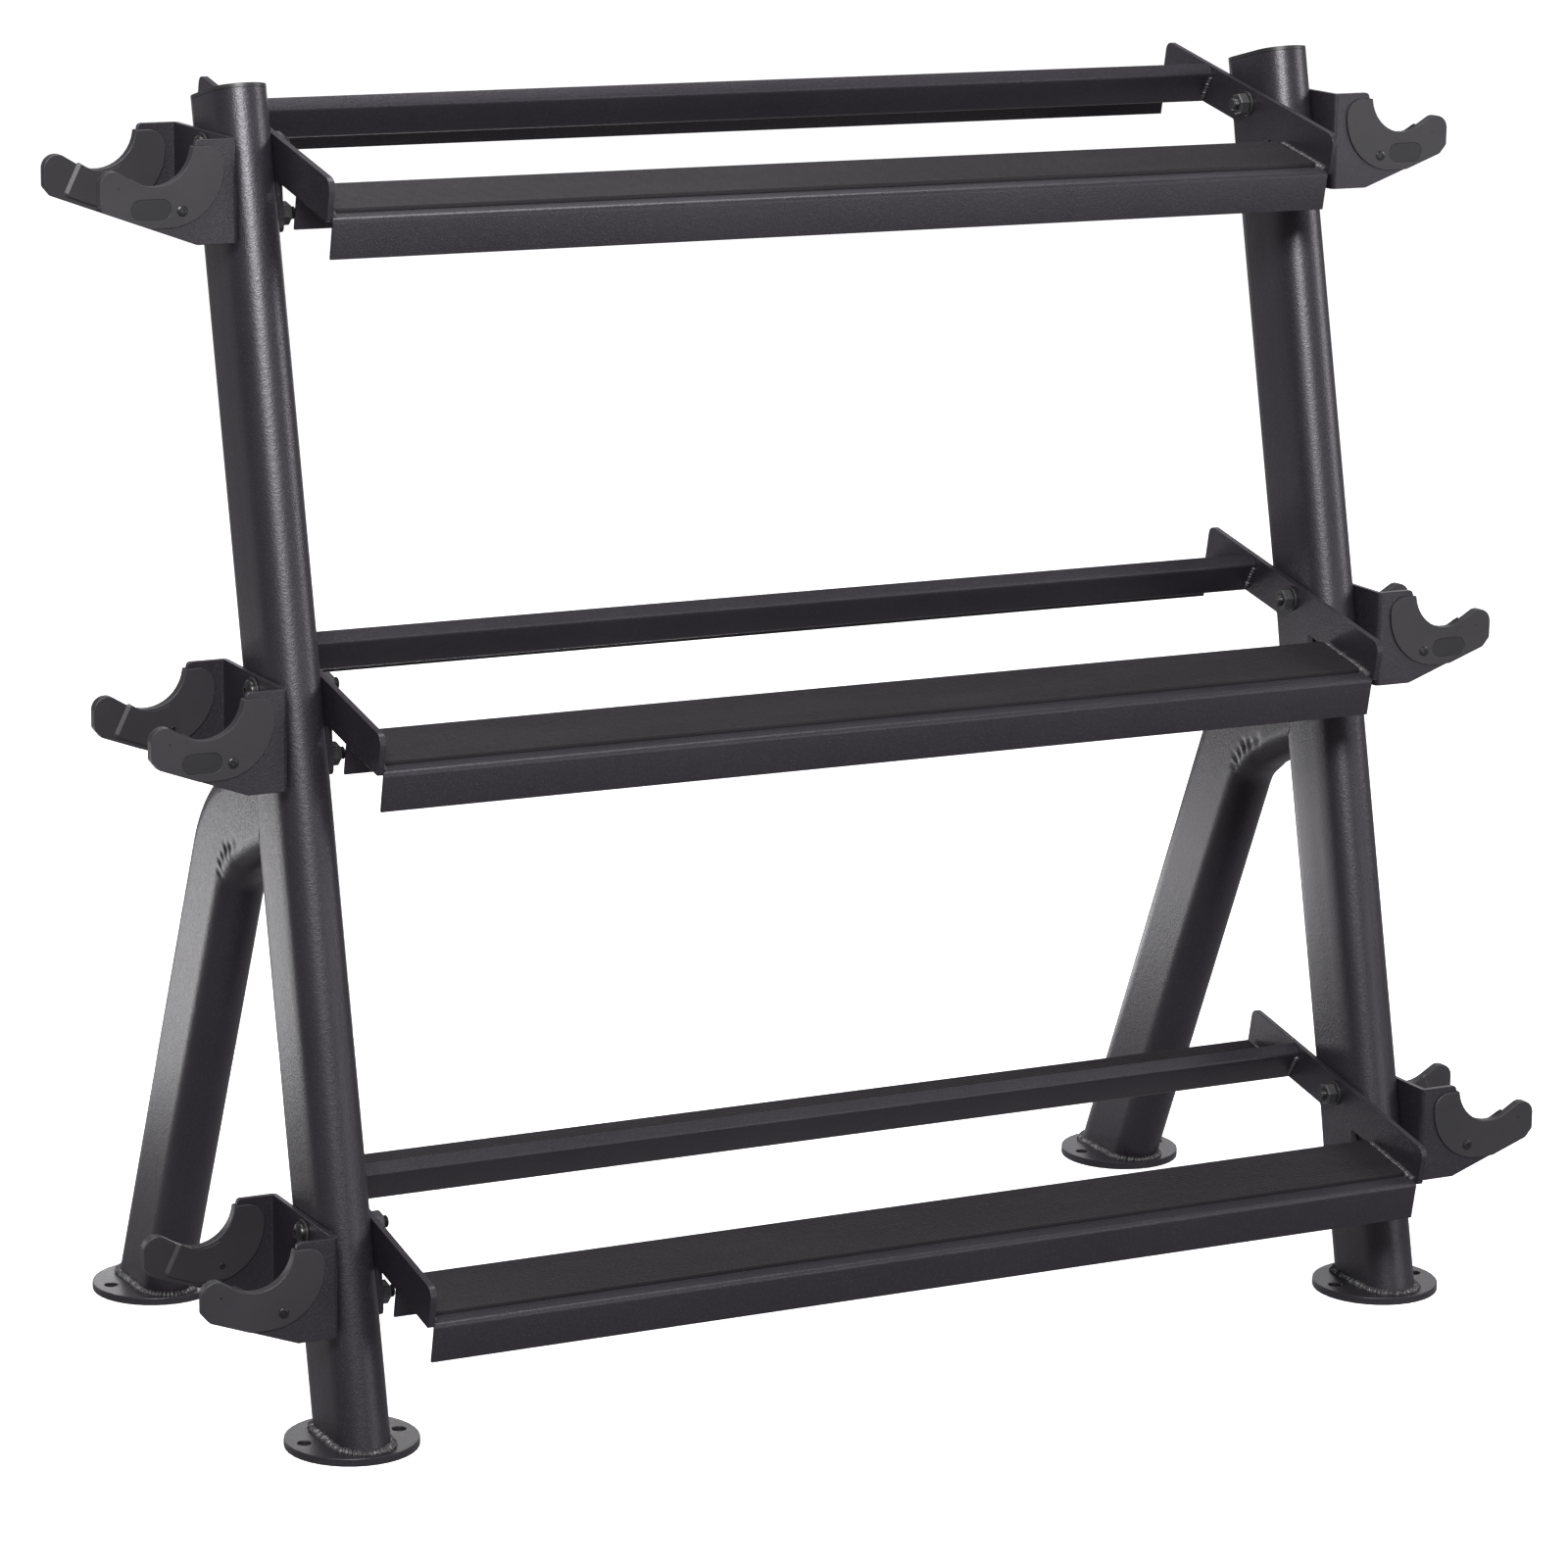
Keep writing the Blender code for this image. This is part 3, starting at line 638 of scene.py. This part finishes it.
def wrinkle(along, depth):
    """Return how far the tube's wall is pushed in at a place on the inside of the bend.

    Each pinch has its place along the bend, its depth, its half width, its half height and its push.
    The wall between the pinches and the edge of the tube bulges out.
    """
    pinches = (
        (0.022, 0.0310, 0.0050, 0.0050, 0.0014),
        (0.036, 0.0275, 0.0044, 0.0052, 0.0019),
        (0.050, 0.0260, 0.0048, 0.0046, 0.0018),
        (0.064, 0.0245, 0.0044, 0.0056, 0.0021),
        (0.079, 0.0255, 0.0050, 0.0046, 0.0017),
        (0.094, 0.0250, 0.0046, 0.0052, 0.0015),
    )
    push = 0.0
    for place, inward, width, tall, strength in pinches:
        distance = ((along - place) / width) ** 2 + ((depth - inward) / tall) ** 2
        push += strength * math.exp(-distance)
    from_bulge = ((along - 0.056) / 0.030) ** 2 + ((depth - 0.044) / 0.013) ** 2
    return push - 0.0030 * math.exp(-from_bulge)


def add_rear_legs(material):
    """Replace the rear legs with dense bent tubes that carry the bend's pressed-in wrinkles."""
    stations, first_of_bend = leg_stations()
    lean_across = Vector((math.cos(UPRIGHT_LEAN), -math.sin(UPRIGHT_LEAN)))
    upright_foot = Vector((0, PLATE_TOP_Z))
    section = flat_oval(32, 0.0, 30)
    radius = TUBE_WIDTH / 2
    clearance = 0.0004
    shape = bmesh.new()
    columns = []
    travelled = [0.0]
    for (first, _), (second, _) in zip(stations, stations[1:]):
        travelled.append(travelled[-1] + (second - first).length)
    for x, depth, outward in section:
        column = []
        for index, (centre, heading) in enumerate(stations):
            across = Vector((-heading.y, heading.x))
            push = wrinkle(travelled[index] - travelled[first_of_bend], depth)
            place = centre + across * (depth - outward.y * push)
            column.append((x - outward.x * push, place, heading))
        first_x, first, heading = column[0]
        foot_reach = (PLATE_TOP_Z + clearance - first.y) / heading.y
        column.insert(0, (first_x, first + heading * foot_reach, heading))
        last_x, last, heading = column[-1]
        surface = radius + math.sqrt(max(0, radius ** 2 - last_x ** 2)) + clearance
        gap = surface - (last - upright_foot).dot(lean_across)
        column.append((last_x, last + heading * gap / heading.dot(lean_across), heading))
        columns.append([shape.verts.new((place_x, place.x, place.y)) for place_x, place, _ in column])
    count = len(columns)
    for index in range(count):
        left, right = columns[index], columns[(index + 1) % count]
        for lower in range(len(left) - 1):
            shape.faces.new((left[lower], right[lower], right[lower + 1], left[lower + 1]))
    shape.faces.new([column[0] for column in columns])
    shape.faces.new([column[-1] for column in columns])
    mesh = mesh_from_bmesh("rear_leg_bent", shape)
    for side, word in SIDES:
        name = f"rear_leg_{word}"
        piece = finished(f"{name}_bent", moved(mesh, frame_matrix(side)), material, 50)
        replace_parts(piece, name)


# ---------------------------------------------------------------- bolts


def hex_nut(name, across_flats, bottom, top):
    """Return a hexagonal nut with chamfered ends."""
    corner_radius = across_flats / math.sqrt(3)
    chamfer, end_scale = 0.0012, 0.90
    tightened_to = 0.3
    shape = bmesh.new()
    rings = []
    for z, scale in ((bottom, end_scale), (bottom + chamfer, 1), (top - chamfer, 1), (top, end_scale)):
        radius = corner_radius * scale
        ring = []
        for step in range(6):
            angle = math.pi * step / 3 + tightened_to
            ring.append(shape.verts.new((radius * math.cos(angle), radius * math.sin(angle), z)))
        rings.append(ring)
    for lower, upper in zip(rings, rings[1:]):
        for step in range(6):
            after = (step + 1) % 6
            shape.faces.new((lower[step], lower[after], upper[after], upper[step]))
    shape.faces.new(rings[0][::-1])
    shape.faces.new(rings[-1])
    return mesh_from_bmesh(name, shape)


def washer(name, bottom, top):
    """Return a washer with eased edges."""
    radius, ease = 0.012, 0.0004
    profile = [(0, bottom), (radius - ease, bottom), (radius, bottom + ease)]
    profile += [(radius, top - ease), (radius - ease, top), (0, top)]
    return turned(name, profile)


def bolt_mesh():
    """Return a bolt set along z: a button head, two washers, a nut and the threaded end, low end first."""
    low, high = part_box("bolt_set_bottom_right_upper")
    end, head_top = low.x - FRAME_X, high.x - FRAME_X
    head_radius, rim, dome = 0.0100, 0.0012, 0.0053
    seat = head_top - rim - dome
    socket_radius = 0.0037
    shank_radius, root_radius, pitch, turns = 0.0059, 0.0052, 0.00175, 3
    nut_face = end + 0.0055
    nut_height, washer_height = 0.010, 0.0025

    head = [(0, seat), (head_radius, seat), (head_radius, seat + rim)]
    for step in range(1, 7):
        angle = math.radians(90) * step / 7
        head.append((head_radius * math.cos(angle) ** 0.8, seat + rim + dome * math.sin(angle)))
    head += [(socket_radius + 0.0006, head_top - 0.0001), (socket_radius, head_top - 0.0006)]
    head += [(socket_radius, head_top - 0.0035), (0, head_top - 0.0040)]

    first_crest = end + 0.0009
    threads = [(0, end), (0.0050, end), (shank_radius, first_crest)]
    for turn in range(turns):
        base = first_crest + turn * pitch
        threads += [(root_radius, base + pitch / 2), (shank_radius, base + pitch)]
    threads += [(shank_radius, nut_face + 0.002), (0, nut_face + 0.002)]

    nut_back = nut_face + nut_height
    return joined("bolt_set", [
        turned("bolt_head", head),
        washer("head_washer", seat - washer_height, seat),
        turned("bolt_shank", [(0, nut_face), (shank_radius, nut_face), (shank_radius, seat), (0, seat)]),
        hex_nut("nut", 0.019, nut_face, nut_back),
        washer("nut_washer", nut_back, nut_back + washer_height),
        turned("bolt_thread", threads),
    ])


def add_bolts(material):
    """Replace each bolt set with a detailed one."""
    mesh = bolt_mesh()
    for tier, tier_word in enumerate(TIERS):
        for side, side_word in SIDES:
            turn = Matrix.Rotation(side * math.radians(90), 4, "Y")
            for level, y, z in BOLT_AXES:
                name = f"bolt_set_{tier_word}_{side_word}_{level}"
                place = Vector((side * FRAME_X, FRONT_FOOT_Y + y, z)) + tier_shift(tier)
                bolt = moved(mesh, Matrix.Translation(place) @ turn)
                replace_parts(finished(f"{name}_detailed", bolt, material), name)


# ---------------------------------------------------------------- hook liners


def ease_rims(piece, width, segments):
    """Round the sharp edges of a helper object."""
    edge = piece.modifiers.new("edge", "BEVEL")
    edge.width = width
    edge.segments = segments
    edge.limit_method = "ANGLE"
    edge.angle_limit = math.radians(40)


def upright_slab(name, outline, y_low, y_high, bevel):
    """Return a slab with its (outward, z) outline facing along y and its edges eased."""
    middle = Matrix.Translation((0, (y_low + y_high) / 2, 0))
    mesh = extruded(name, outline, y_high - y_low)
    mesh.transform(middle @ Matrix.Rotation(math.radians(90), 4, "X"))
    piece = bpy.data.objects.new(name, mesh)
    bpy.context.scene.collection.objects.link(piece)
    ease_rims(piece, bevel, 2)
    eased = evaluated_mesh(piece, name)
    bpy.data.objects.remove(piece)
    return eased


def edged(edges):
    """Return a closed outline from (x, y, heading, radius, inset) edges, anticlockwise.

    An edge passes through (x, y) at its heading in degrees, moved inward by its inset. Its radius
    rounds the corner that it starts from, and an inset on both sides of a corner keeps the arc's centre.
    """
    lines = []
    for x, y, heading, radius, inset in edges:
        direction = Vector((math.cos(math.radians(heading)), math.sin(math.radians(heading))))
        inward = Vector((-direction.y, direction.x))
        lines.append((Vector((x, y)) + inward * inset, direction, radius, inset))
    corners = []
    for index, (point, direction, radius, inset) in enumerate(lines):
        last_point, last_direction, _, last_inset = lines[index - 1]
        turn = last_direction.cross(direction)
        reach = (point - last_point).cross(direction) / turn
        corner = last_point + last_direction * reach
        shared_inset = min(inset, last_inset)
        corners.append((corner.x, corner.y, radius - math.copysign(shared_inset, turn) if radius else 0))
    return rounded(corners)


def pad_outline(raised):
    """Return the outline of a liner's inner pad, at its foot or (raised=1) at its face."""
    return edged([
        (0.0900, 0.1325, 0, 0.004, 0.0015 * raised),
        (0.1400, 0.1447, 20, 0.012, 0.0015 * raised),
        (0.1310, 0.1577, 115.8, 0.004, 0.0038 * raised),
        (0.1218, 0.1734, 211, 0.002, 0.0006 * raised),
        (0.0848, 0.1690, 150, 0.030, 0.0006 * raised),
        (0.0805, 0.1650, 248, 0.0015, 0.0003 * raised),
        (0.0762, 0.1500, 268, 0.010, 0.0003 * raised),
    ])


def inner_pad(foot_y, face_y):
    """Return the raised pad as a solid that narrows from its foot to its face."""
    shape = bmesh.new()
    rings = []
    for raised, y in ((0, foot_y), (1, face_y)):
        rings.append([shape.verts.new((x, y, z)) for x, z in pad_outline(raised)])
    for index in range(len(rings[0])):
        after = (index + 1) % len(rings[0])
        shape.faces.new((rings[0][index], rings[0][after], rings[1][after], rings[1][index]))
    shape.faces.new(rings[0][::-1])
    shape.faces.new(rings[1])
    return mesh_from_bmesh("inner_pad", shape)


def screw_head(radius):
    """Return a small pan head with a socket, its face towards -y and its seat at y = 0."""
    height = 0.0013
    profile = [(0, 0), (radius, 0), (radius, height * 0.5), (radius * 0.8, height)]
    profile += [(radius * 0.42, height), (radius * 0.38, height * 0.35), (0, height * 0.3)]
    mesh = turned("screw_head", profile, 28)
    mesh.transform(Matrix.Rotation(math.radians(90), 4, "X"))
    return mesh


def pip():
    """Return the small mark by a liner's tip, its face towards -y and its seat at y = 0."""
    mesh = turned("pip", [(0, -0.0003), (0.0012, -0.0003), (0.0012, 0.0001), (0, 0.0001)], 20)
    mesh.transform(Matrix.Rotation(math.radians(90), 4, "X"))
    return mesh


def hook_edges(inset):
    """Return the edges that a hook's steel and its liners share: slope, tip and round notch."""
    return [
        (0.064, 0.1135, 20, 0.006, 0),
        (0.1510, 0.1482, 50, 0.003, inset),
        (0.1547, 0.165, 90, 0.004, inset),
        (0.145, 0.1812, 180, 0.0125, inset),
        (0.1228, 0.1717, 211, 0.010, inset),
        (0.0678, 0.1985, 97, 0.0365, inset),
    ]


def liner_mesh(name, recesses):
    """Return a liner for a cheek at y = 0: an eased shell with a pocket for the steel, less its recesses."""
    outline = edged([
        (0.090, 0.1300, 0, 0.053, 0),
        *hook_edges(0),
        (0.050, 0.2003, 180, 0.001, 0),
        (0.0390, 0.186, 270, 0.0165, 0),
    ])
    rim, open_side, pocket_width = 0.002, -0.001, 0.0056
    slope, *tip_and_notch = hook_edges(rim)
    pocket = edged([
        (0.030, 0.1135, 0, 0, 0),
        (*slope[:4], open_side),
        *tip_and_notch,
        (0.050, 0.206, 180, 0, 0),
        (0.0253, 0.160, 270, 0, 0),
    ])
    source = bpy.data.objects.new("liner_source", extruded(name, outline, 2 * LINER_SKIN))
    bpy.context.scene.collection.objects.link(source)
    cutters = []
    for mesh in (extruded("pocket", pocket, pocket_width), *recesses):
        cutter = bpy.data.objects.new("liner_cutter", mesh)
        bpy.context.scene.collection.objects.link(cutter)
        cut = source.modifiers.new("cut", "BOOLEAN")
        cut.operation = "DIFFERENCE"
        cut.solver = "EXACT"
        cut.object = cutter
        cutters.append(cutter)
    ease_rims(source, 0.0009, 3)
    mesh = evaluated_mesh(source, name)
    mesh.transform(Matrix.Rotation(math.radians(90), 4, "X"))
    for helper in (source, *cutters):
        bpy.data.objects.remove(helper)
    return mesh


def slot_outline(centre, length, height):
    """Return a round-ended slot as an (outward, z) outline."""
    x, z = centre
    half, radius = length / 2, height / 2 - 0.0001
    return rounded([
        (x - half, z - height / 2, radius),
        (x + half, z - height / 2, radius),
        (x + half, z + height / 2, radius),
        (x - half, z + height / 2, radius),
    ])


def liner_screws(outer):
    """Return a liner's screws and pip, for a cheek whose outer face looks along y times outer."""
    inner_seat = LINER_SKIN + 0.0016
    small_parts = []
    for mesh, x, z, height, facing in (
        (screw_head(0.0048), 0.0785, 0.1447, LINER_SKIN, outer),
        (screw_head(0.0028), 0.0810, 0.1465, inner_seat, -outer),
        (pip(), 0.1375, 0.1660, LINER_SKIN, outer),
    ):
        turn = Matrix.Rotation(0 if facing < 0 else math.pi, 4, "Z")
        small_parts.append(moved(mesh, Matrix.Translation((x, facing * height, z)) @ turn))
    return joined("screws", small_parts)


def add_liners(plastic, plate_plastic, dark_plastic):
    """Replace the liners with moulded ones, with inner pads, screws, pips and blank recessed plates."""
    recess_length, recess_height, fit = 0.0375, 0.0185, 0.0005
    pad_foot, pad_face = LINER_SKIN - 0.0002, LINER_SKIN + 0.0017
    plain = liner_mesh("liner", ())
    recess = extruded("recess", slot_outline(RECESS_CENTRE, recess_length, recess_height), 0.0020, 0.0052)
    recessed = liner_mesh("recessed_liner", (recess,))
    plate_outline = slot_outline(RECESS_CENTRE, recess_length - fit, recess_height - fit)
    plate = upright_slab("plate", plate_outline, -0.0045, -0.0038, 0.0001)
    for tier, tier_word in enumerate(TIERS):
        for side, side_word in SIDES:
            for cheek, y in CHEEKS:
                matrix = frame_matrix(side, tier) @ Matrix.Translation((0, y, 0))
                name = f"hook_liner_{tier_word}_{side_word}_{cheek}"
                outer = -1 if cheek == "front" else 1
                has_recess = cheek == "front" and tier_word != "bottom"
                mesh = moved(recessed if has_recess else plain, matrix)
                piece = finished(f"{name}_moulded", mesh, plastic, 40)
                even_faces(piece)
                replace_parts(piece, name)
                if has_recess:
                    blank = moved(plate, matrix)
                    even_faces(finished(f"{name}_blank_plate", blank, plate_plastic, 40))
                pad = inner_pad(-outer * pad_foot, -outer * pad_face)
                even_faces(finished(f"{name}_inner_pad", moved(pad, matrix), plastic, 25))
                finished(f"{name}_screws", moved(liner_screws(outer), matrix), dark_plastic, 40)


# ---------------------------------------------------------------- assembly


def dress_cad(coat, plate_coat, cap):
    """Give every CAD node that stays in view its finish."""
    for side, word in SIDES:
        dress_node(f"upright_{word}", coat, 0.0006)
        dress_node(f"top_cap_{word}", cap, 0.0014, 3)
        for row in ("front", "rear"):
            dress_node(f"floor_plate_{row}_{word}", plate_coat, 0.0009, 3)
    for tier_word in TIERS:
        for row in ("front", "rear"):
            dress_node(f"{row}_rail_{tier_word}", coat, 0.0003)
        for side, side_word in SIDES:
            dress_node(f"end_plate_{tier_word}_{side_word}", coat, 0.0007)
            dress_node(f"hook_bracket_{tier_word}_{side_word}", coat, 0.0006)


add_camera()
add_studio()

frame_coat = material_powder_coat("frame_coat", (0.0100, 0.0086, 0.0116), (0.0136, 0.0118, 0.0154), 0.37)
foot_coat = material_powder_coat("floor_plate_coat", (0.011, 0.0098, 0.0125), (0.015, 0.0134, 0.0165), 0.36)
moulding = material_plastic("liner_plastic", (0.0165, 0.0152, 0.0180), (0.0205, 0.0190, 0.0222), 0.46, 0.2)
blank_plate = material_plastic("blank_plate", (0.0060, 0.0054, 0.0068), (0.0085, 0.0078, 0.0094), 0.52, 0.3)
screw_plastic = material_plastic("screw_dark", (0.005, 0.005, 0.0055), (0.009, 0.009, 0.0095), 0.32, 0.1)
cap_plastic = material_plastic("cap_plastic", (0.012, 0.012, 0.013), (0.016, 0.016, 0.017), 0.42, 0.15)
black_steel = material_black_steel()
weld_paint = material_weld()

dress_cad(frame_coat, foot_coat, cap_plastic)
add_rear_legs(frame_coat)
add_mats(material_rubber())
add_bolts(black_steel)
add_liners(moulding, blank_plate, screw_plastic)
add_foot_beads(weld_paint)
add_shelf_beads(weld_paint)
